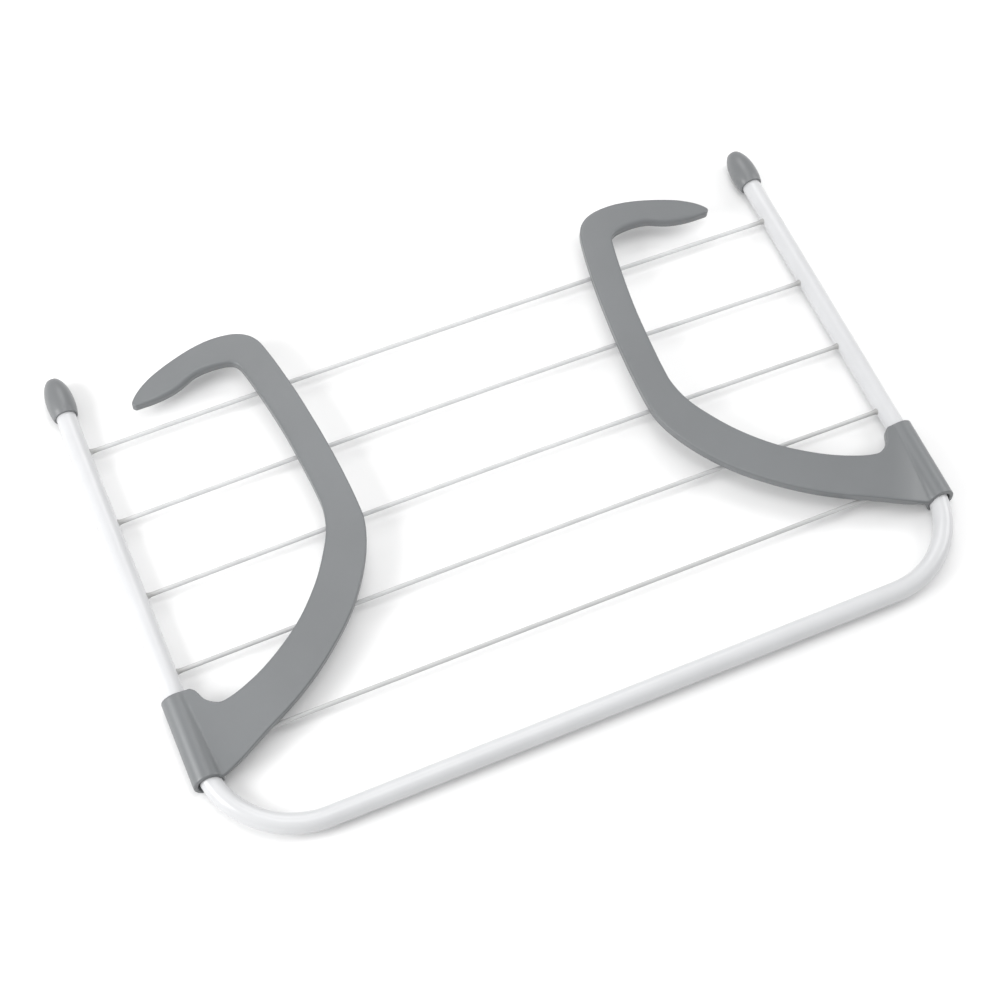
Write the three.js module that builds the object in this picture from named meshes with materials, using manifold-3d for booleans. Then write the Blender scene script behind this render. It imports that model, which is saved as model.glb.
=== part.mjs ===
// Fold-flat airer that hangs over a rail: a bent tube frame strung with five wires, a moulded cap on
// each tube end and two moulded hook arms that snap round the legs and swing up.
// Millimetres. X across the rack, Y from the front bar to the open end, Z up. The rack lies folded flat.

import * as THREE from 'three';
import { mergeVertices } from 'three/addons/utils/BufferGeometryUtils.js';
import Module from 'manifold-3d';

const wasm = await Module();
wasm.setup();

// ---- driving dimensions ----------------------------------------------------------------------------

const OVERALL_WIDTH = 520;
const GAP = 0.3;
const MERGE_TOLERANCE = 1e-4;

// frame tube
const TUBE_RADIUS = 6.5;
const TUBE_WALL = 1.0;
const TUBE_END_Y = 335;
const BEND_RADIUS = 58;
const BEND_STEPS = 9;
const TUBE_SIDES = 12;

// wires, counted from the open end
const WIRE_RADIUS = 1.5;
const WIRE_COUNT = 5;
const WIRE_PITCH = 55.2;
const LAST_WIRE_Y = 66;
const WIRE_SIDES = 16;

// end caps
const CAP_MOUTH_Y = 317;
const CAP_LENGTH = 29;
const CAP_RADIUS = 9.2;
const CAP_LIP_RADIUS = 7.9;
const CAP_TIP_RADIUS = 4;
const CAP_NOSE_RADIUS = 7.6;
const CAP_SWELL_LENGTH = 12;
const CAP_FULL_LENGTH = 22;
const CAP_CURVE_POINTS = 6;
const CAP_SIDES = 36;

// hook arms: a C-shaped sleeve round the leg and a flat hook-shaped blade
const SLEEVE_RADIUS = 9.75;
const SLEEVE_START_Y = 46;
const SLEEVE_END_Y = 104.7;
const SLEEVE_CHAMFER = 0.7;
const CUT_REACH = 24;
const CUT_OVERRUN = 5;
const SLEEVE_SIDES = 48;
const OUTER_LIP_ANGLE = THREE.MathUtils.degToRad(-110);
const HOOP_LIP_ANGLE = THREE.MathUtils.degToRad(-45);
const HOOP_END_Y = 61;
const BORE_RADIUS = TUBE_RADIUS + GAP;
const BORE_FLARE_STEPS = 4;
const BLADE_THICKNESS = 6.8;
const BLADE_UNDERSIDE_Z = 1.85;
const BLADE_TILT = THREE.MathUtils.degToRad(1.75);
const BLADE_CHAMFER = 0.8;
const BLADE_CURVE_POINTS = 5;

// the dip of the blade's top towards the sleeve: heights along a line beside the sleeve, and slope
const VALLEY_DISTANCE = 10;
const VALLEY_FRONT_Z = 5.8;
const VALLEY_BACK_Z = 11.1;
const VALLEY_SLOPE = Math.tan(THREE.MathUtils.degToRad(11));

// the rolled edge of the hook: from and to this distance from the leg, between ROLL_START_Y and a
// line that runs along the middle of the hook
const ROLL_FROM = 44;
const ROLL_TO = 119;
const ROLL_START_Y = 298;
const ROLL_SPLIT_Y = [305.5, 325];
const ROLL_EXTRA = 1.6;

const LEG_X = OVERALL_WIDTH / 2 - SLEEVE_RADIUS;

// where the rack stands: middle of its footprint on the origin, lowest point on z = 0
const CAP_TIP_Y = CAP_MOUTH_Y + CAP_LENGTH;
const FOOTPRINT_MIDDLE_Y = (CAP_TIP_Y - TUBE_RADIUS) / 2;
const AXIS_HEIGHT = CAP_RADIUS;

// ---- materials -------------------------------------------------------------------------------------

const whiteCoat = () => new THREE.MeshStandardMaterial({ color: 0xf1f2f3, roughness: 0.3, metalness: 0.1 });
const wireCoat = () => new THREE.MeshStandardMaterial({ color: 0xdcddde, roughness: 0.35, metalness: 0.1 });
const greyPlastic = () => new THREE.MeshStandardMaterial({ color: 0x8b8f92, roughness: 0.5, metalness: 0.0 });

// ---- helpers ---------------------------------------------------------------------------------------

function toManifold(geometry) {
  const bare = geometry.clone();
  bare.deleteAttribute('normal');
  bare.deleteAttribute('uv');
  const merged = mergeVertices(bare, MERGE_TOLERANCE);
  return new wasm.Manifold(new wasm.Mesh({
    numProp: 3,
    vertProperties: new Float32Array(merged.attributes.position.array),
    triVerts: new Uint32Array(merged.index.array),
  }));
}

function toGeometry(manifold) {
  const mesh = manifold.getMesh();
  const geometry = new THREE.BufferGeometry();
  geometry.setAttribute('position', new THREE.BufferAttribute(new Float32Array(mesh.vertProperties), 3));
  geometry.setIndex(new THREE.BufferAttribute(new Uint32Array(mesh.triVerts), 1));
  geometry.computeVertexNormals();
  return geometry;
}

function part(name, geometry, material) {
  const mesh = new THREE.Mesh(geometry, material);
  mesh.name = name;
  return mesh;
}

function latheAlongY(profile, sides) {
  return new THREE.LatheGeometry(profile.map(([radius, y]) => new THREE.Vector2(radius, y)), sides);
}

// ---- frame tube ------------------------------------------------------------------------------------

// A centre line given by stations, so the straights take one step each and the bends take several.
class StationLine extends THREE.Curve {
  constructor(stations) {
    super();
    this.stations = stations;
  }

  station(u) {
    return this.stations[Math.round(u * (this.stations.length - 1))];
  }

  getPointAt(u, target = new THREE.Vector3()) {
    return target.copy(this.station(u).point);
  }

  getTangentAt(u, target = new THREE.Vector3()) {
    return target.copy(this.station(u).tangent);
  }
}

function tubeStations() {
  const leg = [{ point: new THREE.Vector3(-LEG_X, TUBE_END_Y, 0), tangent: new THREE.Vector3(0, -1, 0) }];
  for (let step = 0; step <= BEND_STEPS; step += 1) {
    const angle = (step / BEND_STEPS) * (Math.PI / 2);
    leg.push({
      point: new THREE.Vector3(
        -LEG_X + BEND_RADIUS * (1 - Math.cos(angle)),
        BEND_RADIUS * (1 - Math.sin(angle)),
        0,
      ),
      tangent: new THREE.Vector3(Math.sin(angle), -Math.cos(angle), 0),
    });
  }
  const mirrored = leg.map(({ point, tangent }) => ({
    point: new THREE.Vector3(-point.x, point.y, 0),
    tangent: new THREE.Vector3(tangent.x, -tangent.y, 0),
  }));
  return leg.concat(mirrored.reverse());
}

function frameTube() {
  const stations = tubeStations();
  const section = new THREE.Shape();
  section.absarc(0, 0, TUBE_RADIUS, 0, 2 * Math.PI, false);
  const inside = new THREE.Path();
  inside.absarc(0, 0, TUBE_RADIUS - TUBE_WALL, 0, 2 * Math.PI, true);
  section.holes.push(inside);
  return new THREE.ExtrudeGeometry(section, {
    extrudePath: new StationLine(stations),
    steps: stations.length - 1,
    curveSegments: TUBE_SIDES,
    bevelEnabled: false,
  });
}

// ---- wires -----------------------------------------------------------------------------------------

function wire() {
  const length = 2 * (LEG_X - TUBE_RADIUS - GAP);
  return new THREE.CylinderGeometry(WIRE_RADIUS, WIRE_RADIUS, length, WIRE_SIDES).rotateZ(Math.PI / 2);
}

function wireY(number) {
  return LAST_WIRE_Y + (WIRE_COUNT - number) * WIRE_PITCH;
}

// ---- end caps --------------------------------------------------------------------------------------

// A cup pushed over the tube end. Swells from the mouth, then closes to a small flat tip.
function endCap() {
  const boreEnd = TUBE_END_Y + GAP;
  const outside = new THREE.CurvePath();
  const lip = new THREE.Vector2(CAP_LIP_RADIUS, CAP_MOUTH_Y);
  const swell = new THREE.Vector2(CAP_RADIUS, CAP_MOUTH_Y + CAP_SWELL_LENGTH / 2);
  const belly = new THREE.Vector2(CAP_RADIUS, CAP_MOUTH_Y + CAP_SWELL_LENGTH);
  const shoulder = new THREE.Vector2(CAP_RADIUS, CAP_MOUTH_Y + CAP_FULL_LENGTH);
  const nose = new THREE.Vector2(CAP_NOSE_RADIUS, CAP_TIP_Y);
  const tip = new THREE.Vector2(CAP_TIP_RADIUS, CAP_TIP_Y);
  outside.add(new THREE.QuadraticBezierCurve(lip, swell, belly));
  outside.add(new THREE.CubicBezierCurve(belly, shoulder, nose, tip));
  const profile = [[0, boreEnd], [BORE_RADIUS, boreEnd], [BORE_RADIUS, CAP_MOUTH_Y]];
  outside.getPoints(CAP_CURVE_POINTS).forEach((point) => profile.push([point.x, point.y]));
  profile.push([0, CAP_TIP_Y]);
  return latheAlongY(profile, CAP_SIDES);
}

// ---- hook arms -------------------------------------------------------------------------------------

// The blade seen from above: first number is the distance inwards from the leg, second is Y.
// Each run is a smooth curve through its points and runs meet at the blade's corners.
const BLADE_START = [0, SLEEVE_END_Y];
const BLADE_RUNS = [
  // end of the sleeve, round the fillet and along the edge that faces the leg up to the elbow
  { curve: true, points: [
    [9.5, 104.7], [12.2, 101.2], [15.2, 94.8], [20, 90.8], [26, 89.5], [40, 93.4], [60, 102.9],
    [83.8, 119.4], [103.3, 139.4], [117, 159.3], [123.9, 173], [127.4, 187], [127.7, 199], [127.1, 214],
  ] },
  // straight seat for the rail
  { curve: false, points: [[125.5, 239]] },
  // on to the inside corner of the hook and along its gripping edge, which steps out towards the tip
  { curve: true, points: [
    [123.6, 257], [120.4, 279], [117, 298], [114.4, 306.5], [109, 310.2], [97, 311.6],
    [86, 310.4], [75, 305.8], [66, 303.4], [55, 302.4], [43.4, 302.6],
  ] },
  // round the tip, over the outside of the hook and back down to the sleeve
  { curve: true, points: [
    [41.6, 305], [44.2, 309.2], [50, 314.3], [60, 320.2], [75, 325.9], [90, 330], [104, 331.7],
    [118, 330.4], [127.5, 326], [133.3, 318.7], [136.6, 307], [139.7, 291], [143.3, 268], [146.6, 238],
    [148.7, 209], [149.3, 181], [148, 166.5], [141.7, 149], [130.5, 130], [116, 112], [98, 95.5],
    [80, 81.9], [62, 71], [44, 61.9], [26, 52.3], [14, 47.2], [10, 46],
  ] },
];
const BLADE_END = [4, SLEEVE_START_Y];
const BLADE_HEEL = [0, SLEEVE_START_Y];

function bladeOutline(side) {
  const place = ([distance, y]) => new THREE.Vector2(-side * distance, y);
  const outline = new THREE.Shape();
  const start = place(BLADE_START);
  outline.moveTo(start.x, start.y);
  let last = BLADE_RUNS[0].points[0];
  outline.lineTo(place(last).x, place(last).y);
  BLADE_RUNS.forEach(({ curve, points }) => {
    const run = points.filter((point) => point !== last).map(place);
    if (curve) {
      outline.splineThru(run);
    } else {
      run.forEach((point) => outline.lineTo(point.x, point.y));
    }
    last = points[points.length - 1];
  });
  [BLADE_END, BLADE_HEEL].map(place).forEach((point) => outline.lineTo(point.x, point.y));
  outline.closePath();
  return outline;
}

// Where the hook grips the rail, its top edge is rolled over: the bevel there is made larger, most of
// all midway between the tip and the inside corner. The blade still lies with its lower bevel on z = 0.
function rollGrippingEdge(flatBlade, side, depth) {
  const position = flatBlade.attributes.position;
  for (let i = 0; i < position.count; i += 1) {
    const y = position.getY(i);
    const z = position.getZ(i);
    const along = (-side * position.getX(i) - ROLL_FROM) / (ROLL_TO - ROLL_FROM);
    const splitY = THREE.MathUtils.lerp(...ROLL_SPLIT_Y, along);
    const onGrip = along > 0 && along < 1 && y > ROLL_START_Y && y < splitY;
    const extra = onGrip ? ROLL_EXTRA * Math.sin(Math.PI * along) : 0;
    if (z > depth + BLADE_CHAMFER / 2) {
      position.setY(i, y + extra);
    } else if (z > depth / 2) {
      position.setZ(i, z - extra);
    }
  }
  return flatBlade;
}

function blade(side) {
  const points = bladeOutline(side).getPoints(BLADE_CURVE_POINTS);
  const depth = BLADE_THICKNESS - 2 * BLADE_CHAMFER;
  const flatBlade = new THREE.ExtrudeGeometry(new THREE.Shape(points), {
    depth,
    bevelEnabled: true,
    bevelThickness: BLADE_CHAMFER,
    bevelSize: BLADE_CHAMFER,
    bevelOffset: -BLADE_CHAMFER,
    bevelSegments: 1,
  });
  return rollGrippingEdge(flatBlade, side, depth)
    .translate(0, 0, BLADE_UNDERSIDE_Z + BLADE_CHAMFER)
    .rotateY(side * BLADE_TILT);
}

function sleeveBarrel() {
  const faceRadius = SLEEVE_RADIUS - SLEEVE_CHAMFER;
  return latheAlongY([
    [0, SLEEVE_START_Y],
    [faceRadius, SLEEVE_START_Y],
    [SLEEVE_RADIUS, SLEEVE_START_Y + SLEEVE_CHAMFER],
    [SLEEVE_RADIUS, SLEEVE_END_Y - SLEEVE_CHAMFER],
    [faceRadius, SLEEVE_END_Y],
    [0, SLEEVE_END_Y],
  ], SLEEVE_SIDES);
}

// The hole for the leg. It opens out at the front end, where the leg has begun to bend away.
function sleeveBore() {
  const startY = SLEEVE_START_Y - CUT_OVERRUN;
  const endY = SLEEVE_END_Y + CUT_OVERRUN;
  const profile = [[0, startY]];
  for (let step = 0; step <= BORE_FLARE_STEPS; step += 1) {
    const y = THREE.MathUtils.lerp(startY, BEND_RADIUS, step / BORE_FLARE_STEPS);
    const bendOffset = BEND_RADIUS - Math.sqrt(BEND_RADIUS ** 2 - (BEND_RADIUS - y) ** 2);
    profile.push([BORE_RADIUS + bendOffset, y]);
  }
  profile.push([BORE_RADIUS, endY], [0, endY]);
  return latheAlongY(profile, SLEEVE_SIDES);
}

// A wedge cut out along the sleeve, from one Y to another. section holds [distance inwards, z] corners.
function lengthwiseCut(side, section, fromY, toY) {
  const shape = new THREE.Shape(section.map(([distance, z]) => new THREE.Vector2(-side * distance, z)));
  return new THREE.ExtrudeGeometry(shape, { depth: toY - fromY, bevelEnabled: false })
    .rotateX(Math.PI / 2)
    .translate(0, toY, 0);
}

// The front end is a hoop that is open only underneath, where it snaps over the leg.
function hoopOpening(side) {
  const atAngle = (angle) => [CUT_REACH * Math.cos(angle), CUT_REACH * Math.sin(angle)];
  const section = [[0, 0], atAngle(OUTER_LIP_ANGLE), atAngle(HOOP_LIP_ANGLE)];
  return lengthwiseCut(side, section, SLEEVE_START_Y - CUT_OVERRUN, HOOP_END_Y);
}

// Behind the hoop everything under the blade on the wire side is open, so the arm clears the last wire.
function wireOpening(side) {
  const lipX = CUT_REACH * Math.cos(OUTER_LIP_ANGLE);
  const lipZ = CUT_REACH * Math.sin(OUTER_LIP_ANGLE);
  const undersideZ = BLADE_UNDERSIDE_Z + CUT_REACH * Math.tan(BLADE_TILT);
  const section = [[0, 0], [lipX, lipZ], [CUT_REACH, lipZ], [CUT_REACH, undersideZ], [0, BLADE_UNDERSIDE_Z]];
  return lengthwiseCut(side, section, HOOP_END_Y, SLEEVE_END_Y + CUT_OVERRUN);
}

// The blade's top dips towards the sleeve: a plane that is lowest at the front and clear at the back.
function dippedBlade(side) {
  const rise = (VALLEY_BACK_Z - VALLEY_FRONT_Z) / (SLEEVE_END_Y - SLEEVE_START_Y);
  const level = VALLEY_FRONT_Z - rise * SLEEVE_START_Y - VALLEY_SLOPE * VALLEY_DISTANCE;
  const down = new THREE.Vector3(-side * VALLEY_SLOPE, rise, -1);
  const length = down.length();
  down.normalize();
  return toManifold(blade(side)).trimByPlane(down.toArray(), -level / length);
}

function hookArm(side) {
  const body = dippedBlade(side).add(toManifold(sleeveBarrel()));
  const cuts = [sleeveBore(), hoopOpening(side), wireOpening(side)];
  return toGeometry(cuts.reduce((left, cut) => left.subtract(toManifold(cut)), body));
}

// ---- assembly --------------------------------------------------------------------------------------

const group = new THREE.Group();
group.name = 'hang_over_folding_airer';
group.position.set(0, -FOOTPRINT_MIDDLE_Y, AXIS_HEIGHT);

group.add(part('frame_tube', frameTube(), whiteCoat()));

for (let number = 1; number <= WIRE_COUNT; number += 1) {
  const mesh = part(`wire_${number}`, wire(), wireCoat());
  mesh.position.y = wireY(number);
  group.add(mesh);
}

[['left', -1], ['right', 1]].forEach(([label, side]) => {
  const cap = part(`end_cap_${label}`, endCap(), greyPlastic());
  cap.position.x = side * LEG_X;
  group.add(cap);

  const arm = part(`hook_arm_${label}`, hookArm(side), greyPlastic());
  arm.position.x = side * LEG_X;
  group.add(arm);
});

export default group;
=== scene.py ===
"""Looks for the hang-over folding drying rack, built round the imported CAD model.

Shapes are worked out in millimetres in the rack's own frame (x = 0 midway between the legs, y = 0 on
the front bar's axis, z = 0 on the tube's axis) and placed in metres where the CAD frame tube is.
"""

import math

import bpy
import numpy as np
from mathutils import Matrix, Vector


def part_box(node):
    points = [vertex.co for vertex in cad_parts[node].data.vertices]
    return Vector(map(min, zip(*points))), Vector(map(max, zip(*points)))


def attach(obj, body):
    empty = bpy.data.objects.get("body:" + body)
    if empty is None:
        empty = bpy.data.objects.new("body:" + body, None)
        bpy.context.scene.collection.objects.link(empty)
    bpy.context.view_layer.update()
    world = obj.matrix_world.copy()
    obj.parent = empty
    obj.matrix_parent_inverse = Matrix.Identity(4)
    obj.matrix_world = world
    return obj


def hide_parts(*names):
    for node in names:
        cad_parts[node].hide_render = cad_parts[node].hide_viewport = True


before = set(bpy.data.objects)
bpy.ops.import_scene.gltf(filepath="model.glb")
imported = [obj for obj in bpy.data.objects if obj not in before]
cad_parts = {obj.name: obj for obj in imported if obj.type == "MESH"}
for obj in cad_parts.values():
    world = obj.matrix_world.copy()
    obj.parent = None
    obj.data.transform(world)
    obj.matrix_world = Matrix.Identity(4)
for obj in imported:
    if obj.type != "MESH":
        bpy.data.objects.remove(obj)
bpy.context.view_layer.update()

MM = 0.001

# ---- dimensions shared with the CAD, in millimetres -------------------------------------------------

GAP = 0.3

TUBE_RADIUS = 6.5
TUBE_WALL = 1.0
TUBE_END_Y = 335.0
BEND_RADIUS = 58.0

WIRE_RADIUS = 1.5
WIRE_COUNT = 5
WIRE_PITCH = 55.2
LAST_WIRE_Y = 66.0

CAP_MOUTH_Y = 317.0
CAP_TIP_Y = 346.0

SLEEVE_RADIUS = 9.75
SLEEVE_START_Y = 46.0
SLEEVE_END_Y = 104.7
SLEEVE_MIDDLE_Y = (SLEEVE_START_Y + SLEEVE_END_Y) / 2
BORE_RADIUS = TUBE_RADIUS + GAP
OUTER_LIP_ANGLE = math.radians(250)
HOOP_END_Y = 61.0
BLADE_THICKNESS = 6.8
BLADE_UNDERSIDE_Z = 1.85
BLADE_TILT = math.radians(1.75)

# the dip of the blade's top towards the sleeve: heights along a line beside the sleeve, and slope
VALLEY_DISTANCE = 10.0
VALLEY_FRONT_Z = 5.8
VALLEY_BACK_Z = 11.1
VALLEY_ANGLE = math.radians(11)

# the rolled edge of the hook: from and to this distance from the leg, between ROLL_START_Y and a
# line that runs along the middle of the hook
ROLL_FROM = 44.0
ROLL_TO = 119.0
ROLL_START_Y = 298.0
ROLL_SPLIT_Y = (305.5, 325.0)

# where the CAD puts the rack's own frame
tube_low, tube_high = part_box("frame_tube")
LEG_X = tube_high.x / MM - TUBE_RADIUS
RACK_ORIGIN = Vector((
    (tube_low.x + tube_high.x) / 2,
    tube_low.y + TUBE_RADIUS * MM,
    (tube_low.z + tube_high.z) / 2,
))


# ---- mesh helpers -----------------------------------------------------------------------------------

ROUND_STEPS = 6


def make_piece(name, points, faces, material, body, replaces):
    """A smooth mesh piece from rack-frame points in millimetres, riding on a CAD body."""
    mesh = bpy.data.meshes.new(name)
    placed = np.asarray(points, float) * MM + np.array(RACK_ORIGIN)
    mesh.from_pydata(placed.tolist(), [], [list(face) for face in faces])
    mesh.polygons.foreach_set("use_smooth", [True] * len(mesh.polygons))
    mesh.materials.append(material)
    mesh.update()
    piece = bpy.data.objects.new(name, mesh)
    bpy.context.scene.collection.objects.link(piece)
    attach(piece, body)
    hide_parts(*replaces)
    return piece


def ring_faces(first, second, sides):
    """Quads between two rings of points, given each ring's first index."""
    return [
        (first + i, first + (i + 1) % sides, second + (i + 1) % sides, second + i)
        for i in range(sides)
    ]


def lathe(profile, sides, axis_point, axis, across):
    """Closed surface of revolution. profile is (distance along axis, radius); radius 0 makes a pole."""
    axis = np.array(axis, float)
    u = np.array(across, float)
    v = np.cross(axis, u)
    angles = np.linspace(0, 2 * math.pi, sides, endpoint=False)
    points, rings = [], []
    for along, radius in profile:
        centre = np.array(axis_point, float) + axis * along
        rings.append((len(points), radius > 0))
        if radius > 0:
            points.extend(centre + radius * (math.cos(a) * u + math.sin(a) * v) for a in angles)
        else:
            points.append(centre)
    faces = []
    for (first, first_open), (second, second_open) in zip(rings, rings[1:]):
        if first_open and second_open:
            faces.extend(ring_faces(first, second, sides))
        elif second_open:
            faces.extend((first, second + (i + 1) % sides, second + i) for i in range(sides))
        elif first_open:
            faces.extend((first + i, first + (i + 1) % sides, second) for i in range(sides))
    return np.array(points), faces


def rounded(corner_from, corner, corner_to, radius):
    """Points of a quarter-like round that replaces a corner of a profile."""
    a, c, b = (np.array(p, float) for p in (corner_from, corner, corner_to))
    start = c + (a - c) / np.linalg.norm(a - c) * radius
    end = c + (b - c) / np.linalg.norm(b - c) * radius
    t = np.linspace(0, 1, ROUND_STEPS)[:, None]
    return ((1 - t) ** 2 * start + 2 * t * (1 - t) * c + t ** 2 * end).tolist()


def smooth_curve(points, samples):
    """Catmull-Rom curve through 2-D points, with that many samples on each span."""
    p = np.array(points, float)
    padded = np.vstack([2 * p[0] - p[1], p, 2 * p[-1] - p[-2]])
    t = np.linspace(0, 1, samples, endpoint=False)[:, None]
    spans = []
    for i in range(len(p) - 1):
        a, b, c, d = padded[i:i + 4]
        squared = (2 * a - 5 * b + 4 * c - d) * t ** 2
        cubed = (3 * b - a - 3 * c + d) * t ** 3
        spans.append(0.5 * (2 * b + (c - a) * t + squared + cubed))
    return np.vstack(spans + [p[-1:]])


# ---- node helpers -----------------------------------------------------------------------------------

class Nodes:
    """Short spelling for building a material's node tree."""

    def __init__(self, name):
        self.material = bpy.data.materials.new(name)
        self.material.use_nodes = True
        self.tree = self.material.node_tree
        self.shader = self.tree.nodes["Principled BSDF"]
        self.position = self.tree.nodes.new("ShaderNodeTexCoord").outputs["Object"]

    def set(self, **values):
        for socket, value in values.items():
            self.shader.inputs[socket.replace("_", " ")].default_value = value

    def link(self, output, socket):
        self.tree.links.new(output, self.shader.inputs[socket])

    def noise(self, scale, detail=3.0, roughness=0.5):
        """Cloudy noise. scale is about the number of blotches to a metre."""
        node = self.tree.nodes.new("ShaderNodeTexNoise")
        node.inputs["Scale"].default_value = scale
        node.inputs["Detail"].default_value = detail
        node.inputs["Roughness"].default_value = roughness
        self.tree.links.new(self.position, node.inputs["Vector"])
        return node.outputs["Fac"]

    def attribute(self, name):
        node = self.tree.nodes.new("ShaderNodeAttribute")
        node.attribute_name = name
        return node.outputs["Fac"]

    def ramp(self, factor, stops):
        """Turns a factor into a colour. stops is a list of (factor, colour)."""
        node = self.tree.nodes.new("ShaderNodeValToRGB")
        elements = node.color_ramp.elements
        for index, (place, colour) in enumerate(stops):
            element = elements[index] if index < 2 else elements.new(place)
            element.position = place
            element.color = (*colour, 1)
        self.tree.links.new(factor, node.inputs["Fac"])
        return node.outputs["Color"]

    def remap(self, factor, low, high):
        """Stretches a factor from 0..1 to low..high."""
        node = self.tree.nodes.new("ShaderNodeMapRange")
        node.inputs["To Min"].default_value = low
        node.inputs["To Max"].default_value = high
        self.tree.links.new(factor, node.inputs["Value"])
        return node.outputs["Result"]

    def mix(self, factor, first, colour):
        """Fades a colour output into one plain colour."""
        node = self.tree.nodes.new("ShaderNodeMix")
        node.data_type = "RGBA"
        self.tree.links.new(factor, node.inputs["Factor"])
        self.tree.links.new(first, node.inputs["A"])
        node.inputs["B"].default_value = (*colour, 1)
        return node.outputs["Result"]

    def bump(self, heights):
        """Chains bumps. heights is a list of (height output, depth in metres)."""
        normal = None
        for height, depth in heights:
            node = self.tree.nodes.new("ShaderNodeBump")
            node.inputs["Distance"].default_value = depth
            self.tree.links.new(height, node.inputs["Height"])
            if normal is not None:
                self.tree.links.new(normal, node.inputs["Normal"])
            normal = node.outputs["Normal"]
        self.link(normal, "Normal")


# ---- materials --------------------------------------------------------------------------------------

def powder_coat():
    """Glossy white powder coat on the tube: faint mottling and orange peel."""
    n = Nodes("powder_coat")
    mottling = n.ramp(n.noise(38), [(0.3, (0.55, 0.555, 0.565)), (0.7, (0.58, 0.585, 0.595))])
    n.link(mottling, "Base Color")
    n.link(n.remap(n.noise(160), 0.26, 0.38), "Roughness")
    n.set(Coat_Weight=0.25, Coat_Roughness=0.12)
    n.bump([(n.noise(420, 2), 0.00006), (n.noise(2600, 1), 0.00001)])
    return n.material


def wire_coat():
    """Thin white coat over drawn wire, greyed by painted shade under the arms, near the legs and on the
    front wires, and greyest at the welded ends, partly weld colour and partly painted contact shade.
    """
    n = Nodes("wire_coat")
    base = n.ramp(n.noise(70), [(0.3, (0.53, 0.535, 0.54)), (0.7, (0.60, 0.605, 0.61))])
    # the attribute darkens the coat with painted shade, and at the ends with the weld's grey and
    # painted contact shade
    n.link(n.mix(n.attribute("painted_shade"), base, (0.36, 0.36, 0.355)), "Base Color")
    n.link(n.remap(n.noise(300), 0.3, 0.45), "Roughness")
    n.bump([(n.noise(900, 2), 0.00003)])
    return n.material


def moulded_grey(name, low, high, rough_low, rough_high):
    """Satin grey moulded plastic: cloudy pigment, fine spark-eroded grain."""
    n = Nodes(name)
    cloud = n.ramp(n.noise(9, 4, 0.6), [(0.32, low), (0.68, high)])
    n.link(cloud, "Base Color")
    n.link(n.remap(n.noise(55, 3), rough_low, rough_high), "Roughness")
    n.set(Specular_IOR_Level=0.6)
    n.bump([(n.noise(1500, 2), 0.00004), (n.noise(260, 3), 0.00005)])
    return n.material


TUBE_MATERIAL = powder_coat()
WIRE_MATERIAL = wire_coat()
ARM_MATERIAL = moulded_grey(
    "arm_plastic",
    low=(0.144, 0.151, 0.156),
    high=(0.161, 0.169, 0.175),
    rough_low=0.32,
    rough_high=0.42,
)
CAP_MATERIAL = moulded_grey(
    "cap_plastic",
    low=(0.150, 0.156, 0.161),
    high=(0.168, 0.174, 0.179),
    rough_low=0.30,
    rough_high=0.40,
)


# ---- frame tube -------------------------------------------------------------------------------------

TUBE_SIDES = 48
LEG_STATIONS = 12
BEND_STATIONS = 25
HALF_BAR_STATIONS = 8


def tube_centre_line():
    """(point, direction) stations down the left leg, round both bends and up the right leg."""
    half = [((-LEG_X, y), (0.0, -1.0)) for y in np.linspace(TUBE_END_Y, BEND_RADIUS, LEG_STATIONS)[:-1]]
    for angle in np.linspace(0, math.pi / 2, BEND_STATIONS):
        point = (-LEG_X + BEND_RADIUS * (1 - math.cos(angle)), BEND_RADIUS * (1 - math.sin(angle)))
        half.append((point, (math.sin(angle), -math.cos(angle))))
    for x in np.linspace(-LEG_X + BEND_RADIUS, 0, HALF_BAR_STATIONS)[1:-1]:
        half.append(((x, 0.0), (1.0, 0.0)))
    other = [((-x, y), (dx, -dy)) for (x, y), (dx, dy) in reversed(half)]
    return half + other


def tube_wall(stations, radius):
    """Points and quads of a round skin along the stations."""
    angles = np.linspace(0, 2 * math.pi, TUBE_SIDES, endpoint=False)
    points, faces = [], []
    for (x, y), (dx, dy) in stations:
        for a in angles:
            out = radius * math.cos(a)
            points.append((x - dy * out, y + dx * out, radius * math.sin(a)))
    for i in range(len(stations) - 1):
        faces.extend(ring_faces(i * TUBE_SIDES, (i + 1) * TUBE_SIDES, TUBE_SIDES))
    return np.array(points), faces


def build_tube():
    """Outer and inner skin of the tube, joined by a flat ring at each end."""
    stations = tube_centre_line()
    outer, outer_faces = tube_wall(stations, TUBE_RADIUS)
    inner, inner_faces = tube_wall(stations, TUBE_RADIUS - TUBE_WALL)
    count = len(outer)
    last = count - TUBE_SIDES
    faces = outer_faces + [tuple(i + count for i in reversed(f)) for f in inner_faces]
    faces += ring_faces(count, 0, TUBE_SIDES)
    faces += ring_faces(last, count + last, TUBE_SIDES)
    points = np.vstack([outer, inner])
    make_piece("frame_tube_coated", points, faces, TUBE_MATERIAL, "rack", ["frame_tube"])


# ---- wires ------------------------------------------------------------------------------------------

# how far the middle of each wire has been pulled towards the open end, wire 1 first
WIRE_BOWS = [1.7, 2.5, 2.5, 1.8, 0.0]
# how much painted shade greys the coat in the middle and near the legs, wire 1 first, 1 being as grey
# as at the welds
WIRE_PAINTED_SHADE = [(0.0, 0.0), (0.0, 0.0), (0.0, 0.2), (0.16, 0.3), (0.4, 0.4)]
# size of the weld beads, wire 1 first; those of the last wire are small, so that the sleeves pass over
WIRE_BEADS = [1.0, 1.0, 1.0, 1.0, 0.35]

WIRE_SIDES = 24
WIRE_MIDDLE_STATIONS = 10
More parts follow.
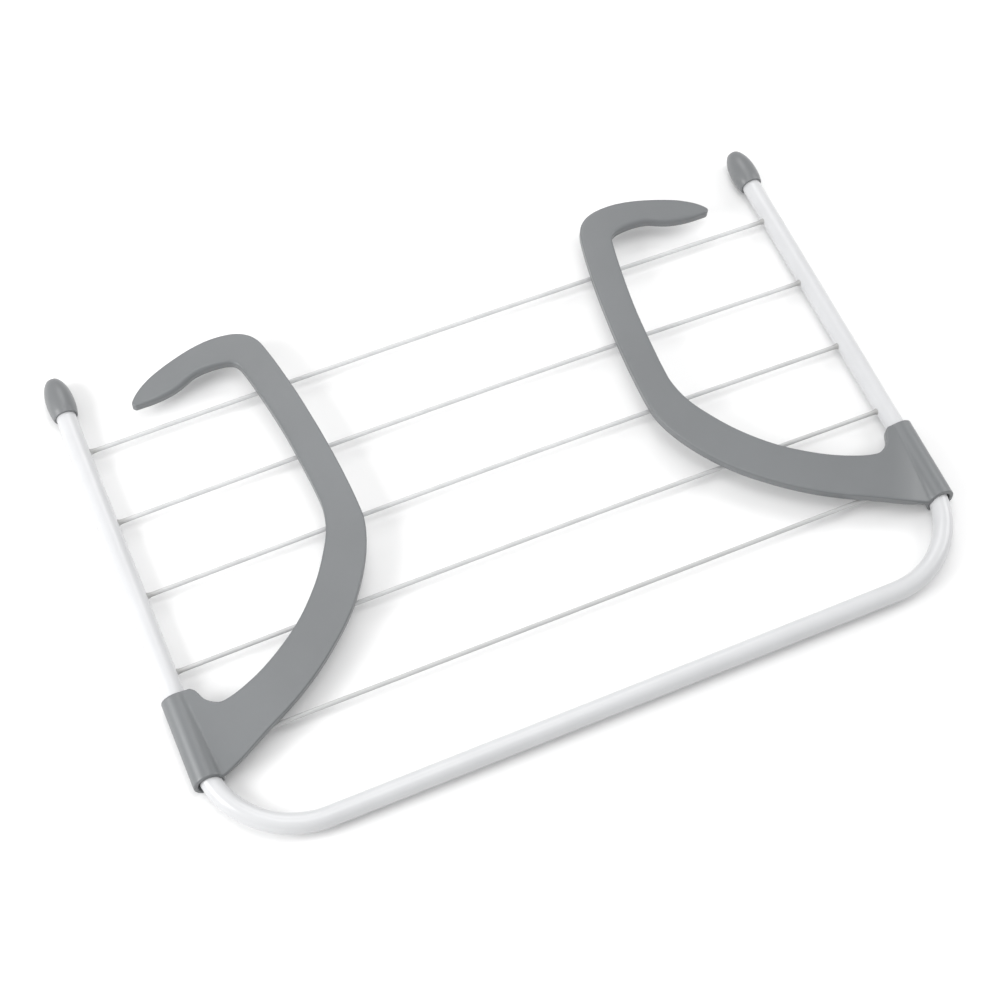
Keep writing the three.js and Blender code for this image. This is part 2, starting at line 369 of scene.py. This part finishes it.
# a bead from inside the leg outwards along the wire: (distance towards the leg, swell past the wire)
BEAD_PROFILE = [(0.4, 1.2), (0.1, 0.85), (-0.5, 0.5), (-1.3, 0.24), (-2.4, 0.08), (-4.0, 0.0)]
BEAD_SCATTER = 0.05
BEAD_END = 12.0
# the part of a bead that follows the round of the leg: its length, and height either way
HUG_LENGTH = 0.6
HUG_HEIGHT = 3.0
# distances from the leg: where the painted shade near the legs reaches its full grey, and from where to
# where the coat turns as grey as at the welds, a grey that is partly the weld and partly painted
# contact shade
PAINTED_SHADE_FADE = 20.0
WELD_AND_CONTACT_SHADE_FADE = (9.0, 2.0)


def wire_y(number):
    return LAST_WIRE_Y + (WIRE_COUNT - number) * WIRE_PITCH


def wire_profile(number, reach):
    """(x, radius) from end to end: a bead, the plain wire and a bead."""
    random = np.random.default_rng(number)
    bead = []
    for along, swell in BEAD_PROFILE:
        scatter = random.uniform(-BEAD_SCATTER, BEAD_SCATTER)
        bead.append((reach + along, WIRE_RADIUS + WIRE_BEADS[number - 1] * swell + scatter))
    right = bead + [(x, WIRE_RADIUS) for x in np.linspace(reach - BEAD_END, 0, WIRE_MIDDLE_STATIONS)]
    left = [(-x, radius) for x, radius in reversed(right[:-1])]
    return [(right[0][0], 0)] + right + left + [(left[-1][0], 0)]


def hug_legs(points, reach):
    """Moves the ends of the beads outwards, so that they follow the round of the legs."""
    near = np.abs(points[:, 0]) > reach - HUG_LENGTH
    height = np.minimum(np.abs(points[near, 2]), HUG_HEIGHT)
    fall_away = TUBE_RADIUS - np.sqrt(TUBE_RADIUS ** 2 - height ** 2)
    points[near, 0] += np.sign(points[near, 0]) * fall_away


def paint_shade_and_weld(piece, points, reach, number):
    """Stores the painted shade and the welds' grey at each point, for the wire's material."""
    from_middle = np.abs(points[:, 0])
    # painted shade: greyer near the legs, under the arms, and on the front wires in the middle
    painted_shade = np.interp(from_middle, [reach / 2, reach - PAINTED_SHADE_FADE], WIRE_PAINTED_SHADE[number - 1])
    # the welded ends: partly the weld's own grey, partly painted contact shade against the legs
    weld = np.interp(from_middle, [reach - WELD_AND_CONTACT_SHADE_FADE[0], reach - WELD_AND_CONTACT_SHADE_FADE[1]], [0, 1])
    attribute = piece.data.attributes.new("painted_shade", "FLOAT", "POINT")
    attribute.data.foreach_set("value", np.maximum(painted_shade, weld).astype(np.float32))


def build_wire(number):
    """A welded wire, slightly bowed, with a small bead that flares on to the leg at each end."""
    name = f"wire_{number}"
    reach = LEG_X - TUBE_RADIUS
    profile = wire_profile(number, reach)
    points, faces = lathe(profile, WIRE_SIDES, (0, wire_y(number), 0), (1, 0, 0), (0, 0, 1))
    # the profile runs against the axis, so the faces are turned round
    faces = [tuple(reversed(f)) for f in faces]
    points[:, 1] += WIRE_BOWS[number - 1] * np.cos(points[:, 0] / reach * math.pi / 2)
    hug_legs(points, reach)
    piece = make_piece(f"{name}_welded", points, faces, WIRE_MATERIAL, "rack", [name])
    paint_shade_and_weld(piece, points, reach, number)


# ---- end caps ---------------------------------------------------------------------------------------

CAP_SIDES = 64
# a close fit on the tube
CAP_BORE_RADIUS = 6.65
CAP_BELLY_SAMPLES = 6
# the outside of the cap behind its lip: (distance from the mouth, radius)
CAP_BELLY = [
    (1.1, 8.15), (4.0, 8.75), (8.0, 9.12), (12.0, 9.2), (16.0, 8.95),
    (20.0, 8.3), (23.5, 7.3), (26.3, 6.1), (28.3, 4.85),
]
CAP_LIP_RADIUS = 7.95
CAP_LIP_DEPTH = 1.0
CAP_LIP_INNER_ROUND = 0.35
CAP_LIP_OUTER_ROUND = 0.7
CAP_TIP_RADIUS = 4.3
CAP_TIP_ROUND = 0.5


def cap_profile():
    """(y, radius) from the end of the bore, out of the mouth, over the belly and to the tip."""
    bore_end = TUBE_END_Y + GAP
    lip_start = (CAP_MOUTH_Y + CAP_LIP_DEPTH, CAP_BORE_RADIUS)
    lip_inner = (CAP_MOUTH_Y, CAP_BORE_RADIUS)
    lip_outer = (CAP_MOUTH_Y, CAP_LIP_RADIUS)
    belly = [(CAP_MOUTH_Y + along, radius) for along, radius in CAP_BELLY]
    profile = [(bore_end, 0), (bore_end, CAP_BORE_RADIUS), lip_start]
    profile += rounded(lip_start, lip_inner, lip_outer, CAP_LIP_INNER_ROUND)
    profile += rounded(lip_inner, lip_outer, belly[0], CAP_LIP_OUTER_ROUND)
    profile += smooth_curve(belly, CAP_BELLY_SAMPLES).tolist()
    profile += rounded(belly[-1], (CAP_TIP_Y, CAP_TIP_RADIUS), (CAP_TIP_Y, 0), CAP_TIP_ROUND)
    return profile + [(CAP_TIP_Y, 0)]


def build_cap(label, side):
    """Push-on cap: soft rolled lip, gentle belly, blunt tip with a small flat."""
    name = f"end_cap_{label}"
    points, faces = lathe(cap_profile(), CAP_SIDES, (side * LEG_X, 0, 0), (0, 1, 0), (0, 0, 1))
    make_piece(f"{name}_moulded", points, faces, CAP_MATERIAL, "rack", [name])


# ---- hook arms --------------------------------------------------------------------------------------
# Each arm is one moulding, described as a signed distance in arm coordinates: d is the distance
# inwards from the leg's axis, y and z as in the rack frame. The surface is where the distance is 0.

# inner lips of the sleeve and of its hoop; their rounds go on a little past these angles
WIRE_LIP_ANGLE = math.radians(14)
HOOP_LIP_ANGLE = math.radians(-42)
# how far the front face of the sleeve leans back for each millimetre of height
SLEEVE_END_SLANT = 0.13
# the sleeve is open under the blade from here inwards
OPEN_SIDE_START = -2.0
# the bore is cut this far either way from the middle of the sleeve
BORE_REACH = 45.0

# radii of edges and fillets, and the width over which the rolled edge fades in
BLADE_EDGE_ROUND = 1.0
ROLL_EXTRA_ROUND = 2.4
ROLL_FADE = 3.0
DIP_ROUND = 1.5
SLEEVE_END_ROUND = 0.5
SLEEVE_FILLET = 0.8

BLADE_CURVE_SAMPLES = 7
SLEEVE_END_CORNER = (0, SLEEVE_END_Y)
# round the fillet, along the edge that faces the leg and along the hook's gripping edge
BLADE_INNER_EDGE = [
    (9.0, 104.7), (12.0, 101.8), (15.0, 95.2), (20.0, 90.8), (26.0, 89.5), (40.0, 93.4), (60.0, 102.9),
    (83.8, 119.4), (103.3, 139.4), (117.0, 159.3), (123.9, 173.0), (127.4, 187.0), (127.7, 199.0),
    (127.1, 214.0), (125.5, 239.0), (123.6, 257.0), (120.4, 279.0), (117.0, 298.0), (114.4, 306.5),
    (109.0, 310.2), (97.0, 311.6), (86.0, 310.4), (75.0, 305.8), (66.0, 303.4), (55.0, 302.4),
    (43.4, 302.6),
]
# round the tip, over the outside of the hook and back down to the sleeve
BLADE_OUTER_EDGE = [
    (43.4, 302.6), (41.6, 305.0), (44.2, 309.2), (50.0, 314.3), (60.0, 320.2), (75.0, 325.9),
    (90.0, 330.0), (104.0, 331.7), (118.0, 330.4), (127.5, 326.0), (133.3, 318.7), (136.6, 307.0),
    (139.7, 291.0), (143.3, 268.0), (146.6, 238.0), (148.7, 209.0), (149.3, 181.0), (148.0, 166.5),
    (141.7, 149.0), (130.5, 130.0), (116.0, 112.0), (98.0, 95.5), (80.0, 81.9), (62.0, 71.0),
    (44.0, 61.9), (26.0, 52.3), (14.0, 47.2), (10.0, 46.0),
]
SLEEVE_START_CORNERS = [(10.0, SLEEVE_START_Y), (4.0, SLEEVE_START_Y), (0, SLEEVE_START_Y)]


def blade_outline():
    """Closed outline of the blade seen from above, as (d, y) points."""
    edges = (BLADE_INNER_EDGE, BLADE_OUTER_EDGE)
    curves = [smooth_curve(edge, BLADE_CURVE_SAMPLES)[:-1] for edge in edges]
    return np.vstack([SLEEVE_END_CORNER, *curves, SLEEVE_START_CORNERS])


def polygon_distance(points, polygon):
    """Signed distance from 2-D points to a closed polygon, negative inside."""
    start, end = polygon, np.roll(polygon, -1, axis=0)
    nearest = np.full(len(points), np.inf)
    inside = np.zeros(len(points), bool)
    px, py = points[:, 0], points[:, 1]
    for (ax, ay), (bx, by) in zip(start, end):
        ex, ey = bx - ax, by - ay
        t = np.clip(((px - ax) * ex + (py - ay) * ey) / (ex * ex + ey * ey), 0, 1)
        nearest = np.minimum(nearest, (px - ax - t * ex) ** 2 + (py - ay - t * ey) ** 2)
        if ay != by:
            crosses = (ay > py) != (by > py)
            inside ^= crosses & (px < ax + (py - ay) * ex / ey)
    return np.where(inside, -1, 1) * np.sqrt(nearest)


def rounded_intersection(a, b, radius):
    """Distance to where both a and b are negative, with the edge between them rounded."""
    corner = np.hypot(np.maximum(a + radius, 0), np.maximum(b + radius, 0))
    return np.minimum(np.maximum(a, b) + radius, 0) + corner - radius


def soft_union(a, b, radius):
    """Distance to where either is negative, with a fillet of about that size where they meet."""
    blend = np.clip(0.5 + 0.5 * (b - a) / radius, 0, 1)
    return b * (1 - blend) + a * blend - radius * blend * (1 - blend)


def bend_offset(y):
    """How far the leg's axis has bent inwards at y."""
    short = np.clip(BEND_RADIUS - y, 0, BEND_RADIUS - 1)
    return BEND_RADIUS - np.sqrt(BEND_RADIUS ** 2 - short ** 2)


def ring_distance(d, y, z, lip_angle, start_y, end_y):
    """Part of a ring round the leg from the inner lip over the top to the outer lip, all rounded."""
    middle = (lip_angle + OUTER_LIP_ANGLE) / 2
    half_span = (OUTER_LIP_ANGLE - lip_angle) / 2
    wall = SLEEVE_RADIUS - BORE_RADIUS
    wall_middle = SLEEVE_RADIUS - wall / 2
    radius = np.hypot(d, z)
    angle = (np.arctan2(z, d) - middle + math.pi) % (2 * math.pi) - math.pi
    beyond = np.maximum(np.abs(angle) - half_span, 0)
    lip = np.hypot(radius * np.cos(beyond) - wall_middle, radius * np.sin(beyond))
    section = np.where(beyond > 0, lip, np.abs(radius - wall_middle)) - wall / 2
    length = np.maximum(start_y + SLEEVE_END_SLANT * z - y, y - end_y)
    return rounded_intersection(section, length, SLEEVE_END_ROUND)


def bore_distance(d, y, z):
    """Room for the leg, negative inside. At the front it also makes room for the leg's bend, which
    lies inwards when the arm is folded and below when the arm is up."""
    offset = bend_offset(y)
    spread = np.maximum(np.hypot(np.maximum(d, 0), np.minimum(z, 0)) - offset, 0)
    return np.hypot(spread, np.hypot(np.minimum(d, 0), np.maximum(z, 0))) - BORE_RADIUS


def top_edge_radius(d, y):
    """Radius of the blade's top edge: small, but rolled over where the hook grips the rail."""
    along = np.clip((d - ROLL_FROM) / (ROLL_TO - ROLL_FROM), 0, 1)
    split_y = ROLL_SPLIT_Y[0] + (ROLL_SPLIT_Y[1] - ROLL_SPLIT_Y[0]) * along
    below_split = np.clip((split_y - y) / ROLL_FADE + 0.5, 0, 1)
    past_start = np.clip((y - ROLL_START_Y) / ROLL_FADE + 0.5, 0, 1)
    gripping = below_split * past_start
    return BLADE_EDGE_ROUND + ROLL_EXTRA_ROUND * np.sin(math.pi * along) * gripping


def blade_underside(d):
    """Height of the blade's underside."""
    return BLADE_UNDERSIDE_Z + d * math.tan(BLADE_TILT)


def blade_distance(d, y, z, outline_distance):
    """Flat hook-shaped blade with rounded edges. Its plane rises slightly away from the leg and its
    top dips towards the front of the sleeve."""
    middle = blade_underside(d) + BLADE_THICKNESS / 2
    slab = np.abs(z - middle) - BLADE_THICKNESS / 2
    under_top = z - middle - BLADE_THICKNESS / 2
    rolled_top = rounded_intersection(outline_distance, under_top, top_edge_radius(d, y))
    rise = (VALLEY_BACK_Z - VALLEY_FRONT_Z) / (SLEEVE_END_Y - SLEEVE_START_Y)
    along_valley = VALLEY_FRONT_Z + rise * (y - SLEEVE_START_Y)
    across_valley = math.tan(VALLEY_ANGLE) * (d - VALLEY_DISTANCE)
    dip = (z - along_valley - across_valley) * math.cos(VALLEY_ANGLE)
    flat = rounded_intersection(slab, dip, DIP_ROUND)
    return np.maximum(rounded_intersection(outline_distance, flat, BLADE_EDGE_ROUND), rolled_top)


def arm_distance(d, y, z, outline_distance):
    """The whole arm: blade, sleeve that is open under the blade, fuller hoop in front, and bore."""
    blade = blade_distance(d, y, z, outline_distance)
    sleeve = ring_distance(d, y, z, WIRE_LIP_ANGLE, SLEEVE_START_Y, SLEEVE_END_Y)
    hoop = ring_distance(d, y, z, HOOP_LIP_ANGLE, SLEEVE_START_Y, HOOP_END_Y)
    open_side = np.minimum(np.minimum(blade_underside(d) - z, d - OPEN_SIDE_START), y - HOOP_END_Y)
    body = soft_union(blade, np.minimum(np.maximum(sleeve, open_side), hoop), SLEEVE_FILLET)
    near_sleeve = np.abs(y - SLEEVE_MIDDLE_Y) < BORE_REACH
    return np.where(near_sleeve, np.maximum(body, -bore_distance(d, y, z)), body)


# the box that the arm's distance is sampled in, and the size of its cells
ARM_LOW = np.array([-12.0, 40.0, -12.0])
ARM_HIGH = np.array([153.0, 336.0, 15.5])
ARM_CELL = np.array([0.8, 0.8, 0.55])
# how the sampled surface is drawn on to the true one
SETTLE_ROUNDS = 2
SETTLE_NUDGE = 0.05
SETTLE_LIMIT = 0.4
LEAST_STEEP = 0.25


def surface_nets(field, low, step):
    """Points and quads of the zero surface of a sampled field, one point in each cell it crosses."""
    sign = field < 0
    shape = tuple(n - 1 for n in field.shape)
    corners = [(i, j, k) for i in (0, 1) for j in (0, 1) for k in (0, 1)]

    def corner_values(array, c):
        return array[c[0]:c[0] + shape[0], c[1]:c[1] + shape[1], c[2]:c[2] + shape[2]]

    count = sum(corner_values(sign, c).astype(np.int8) for c in corners)
    active = (count > 0) & (count < 8)
    cells = np.argwhere(active)
    index = np.full(shape, -1, np.int64)
    index[active] = np.arange(len(cells))
    total = np.zeros((len(cells), 3))
    crossings = np.zeros(len(cells))
    for a in corners:
        for axis in range(3):
            if a[axis]:
                continue
            b = list(a)
            b[axis] = 1
            fa = corner_values(field, a)[active]
            fb = corner_values(field, tuple(b))[active]
            crossed = (fa < 0) != (fb < 0)
            t = np.where(crossed, fa / np.where(crossed, fa - fb, 1), 0)
            place = np.tile(np.array(a, float), (len(cells), 1))
            place[:, axis] = t
            total[crossed] += place[crossed]
            crossings[crossed] += 1
    points = np.array(low) + (cells + total / crossings[:, None]) * np.array(step)
    faces = []
    for axis in range(3):
        u, v = (axis + 1) % 3, (axis + 2) % 3
        ahead = [slice(None)] * 3
        here = [slice(None)] * 3
        ahead[axis], here[axis] = slice(1, None), slice(None, -1)
        first, second = sign[tuple(here)], sign[tuple(ahead)]
        for flip in (False, True):
            wanted = (first & ~second) if not flip else (~first & second)
            at = np.argwhere(wanted)
            at = at[(at[:, u] > 0) & (at[:, v] > 0)]
            quad = []
            for du, dv in ((1, 1), (0, 1), (0, 0), (1, 0)):
                cell = at.copy()
                cell[:, u] -= du
                cell[:, v] -= dv
                quad.append(index[cell[:, 0], cell[:, 1], cell[:, 2]])
            quad = np.stack(quad, axis=1)
            faces.append(quad[:, ::-1] if flip else quad)
    return points, np.vstack(faces)


def sampled_arm(outline):
    """Points and quads of the arm's surface, as fine as the cells."""
    along_d, along_y, along_z = (np.arange(*span) for span in zip(ARM_LOW, ARM_HIGH, ARM_CELL))
    d, y = np.meshgrid(along_d, along_y, indexing="ij")
    flat = polygon_distance(np.column_stack([d.ravel(), y.ravel()]), outline).reshape(d.shape)
    field = arm_distance(d[:, :, None], y[:, :, None], along_z[None, None, :], flat[:, :, None])
    return surface_nets(field, ARM_LOW, ARM_CELL)


def arm_mesh():
    """Points (d, y, z) and quads of one arm."""
    outline = blade_outline()
    points, quads = sampled_arm(outline)

    def distance_at(p):
        return arm_distance(p[:, 0], p[:, 1], p[:, 2], polygon_distance(p[:, :2], outline))

    for _ in range(SETTLE_ROUNDS):
        value = distance_at(points)
        slope = np.column_stack([
            (distance_at(points + nudge) - value) / SETTLE_NUDGE for nudge in SETTLE_NUDGE * np.eye(3)
        ])
        steep = np.maximum((slope ** 2).sum(axis=1), LEAST_STEEP)
        points -= np.clip(value / steep, -SETTLE_LIMIT, SETTLE_LIMIT)[:, None] * slope
    return points, quads


def build_arm(label, side, points, quads):
    """One arm on its leg. The right one is the mirror image, so its faces are turned round."""
    name = f"hook_arm_{label}"
    body = f"arm_{label}"
    placed = points.copy()
    placed[:, 0] = side * (LEG_X - points[:, 0])
    faces = quads if side < 0 else quads[:, ::-1]
    make_piece(f"{name}_moulded", placed, faces.tolist(), ARM_MATERIAL, body, [name])


# ---- floor, light and camera ------------------------------------------------------------------------

FLOOR_REACH = 40.0


def build_floor():
    """Plain white floor, wide enough for its edge never to show."""
    mesh = bpy.data.meshes.new("floor")
    corners = [(x * FLOOR_REACH, y * FLOOR_REACH, 0) for x, y in ((-1, -1), (1, -1), (1, 1), (-1, 1))]
    mesh.from_pydata(corners, [], [(0, 1, 2, 3)])
    n = Nodes("floor_white")
    n.link(n.ramp(n.noise(2), [(0.3, (0.87, 0.87, 0.87)), (0.7, (0.88, 0.88, 0.88))]), "Base Color")
    n.set(Roughness=0.9, Specular_IOR_Level=0.1)
    mesh.materials.append(n.material)
    floor = bpy.data.objects.new("floor", mesh)
    bpy.context.scene.collection.objects.link(floor)


def direction(around, height):
    """Unit vector that points round the table (0 is +X, 90 is +Y) and up from it, in degrees."""
    around = math.radians(around)
    height = math.radians(height)
    level = math.cos(height)
    return Vector((level * math.cos(around), level * math.sin(around), math.sin(height)))


WORLD_STRENGTH = 0.66
SOFTBOX_DISTANCE = 1.4
SOFTBOX_SIZE = 0.7
SOFTBOXES = [
    # name, direction round the table and height above it in degrees, watts
    ("left_softbox", 180, 30, 12.6),
    ("back_softbox", 75, 47, 3.9),
    ("right_softbox", 0, 30, 5.4),
    ("overhead_softbox", 90, 89, 4.3),
]


def add_softbox(name, around, height, power):
    """Square lamp at a fixed distance, turned to face the middle of the rack."""
    place = SOFTBOX_DISTANCE * direction(around, height)
    light = bpy.data.lights.new(name, "AREA")
    light.size = SOFTBOX_SIZE
    light.energy = power
    lamp = bpy.data.objects.new(name, light)
    lamp.location = place
    lamp.rotation_euler = (-place).to_track_quat("-Z", "Y").to_euler()
    bpy.context.scene.collection.objects.link(lamp)


def build_light():
    world = bpy.data.worlds.new("studio")
    world.use_nodes = True
    background = world.node_tree.nodes["Background"]
    background.inputs["Color"].default_value = (1.0, 1.0, 1.0, 1)
    background.inputs["Strength"].default_value = WORLD_STRENGTH
    bpy.context.scene.world = world
    for softbox in SOFTBOXES:
        add_softbox(*softbox)


# the point on the floor in the middle of the view and how far the camera is from it, in millimetres
CAMERA_TARGET = Vector((-11.7, -10.3, 0.0))
CAMERA_DISTANCE = 1311.2
# where the camera is round the table, how high above it, and its roll, in degrees
CAMERA_AROUND = 241.21
CAMERA_HEIGHT = 61.93
CAMERA_ROLL = 5.76
CAMERA_LENS = 73.03
SENSOR_WIDTH = 36
CAMERA_CLIP = (0.05, 100)


def build_camera():
    camera = bpy.data.cameras.new("camera")
    camera.sensor_width = SENSOR_WIDTH
    camera.lens = CAMERA_LENS
    camera.clip_start, camera.clip_end = CAMERA_CLIP
    holder = bpy.data.objects.new("camera", camera)
    back = direction(CAMERA_AROUND, CAMERA_HEIGHT)
    place = (CAMERA_TARGET + CAMERA_DISTANCE * back) * MM
    level = back.to_track_quat("Z", "Y").to_matrix().to_4x4()
    roll = Matrix.Rotation(math.radians(CAMERA_ROLL), 4, "Z")
    holder.matrix_world = Matrix.Translation(place) @ level @ roll
    bpy.context.scene.collection.objects.link(holder)
    bpy.context.scene.camera = holder


# ---- build ------------------------------------------------------------------------------------------

build_tube()
for wire_number in range(1, WIRE_COUNT + 1):
    build_wire(wire_number)
for cap_label, cap_side in (("left", -1), ("right", 1)):
    build_cap(cap_label, cap_side)
arm_points, arm_quads = arm_mesh()
for arm_label, arm_side in (("left", -1), ("right", 1)):
    build_arm(arm_label, arm_side, arm_points, arm_quads)

build_floor()
build_light()
build_camera()
bpy.context.scene.view_settings.view_transform = "Standard"
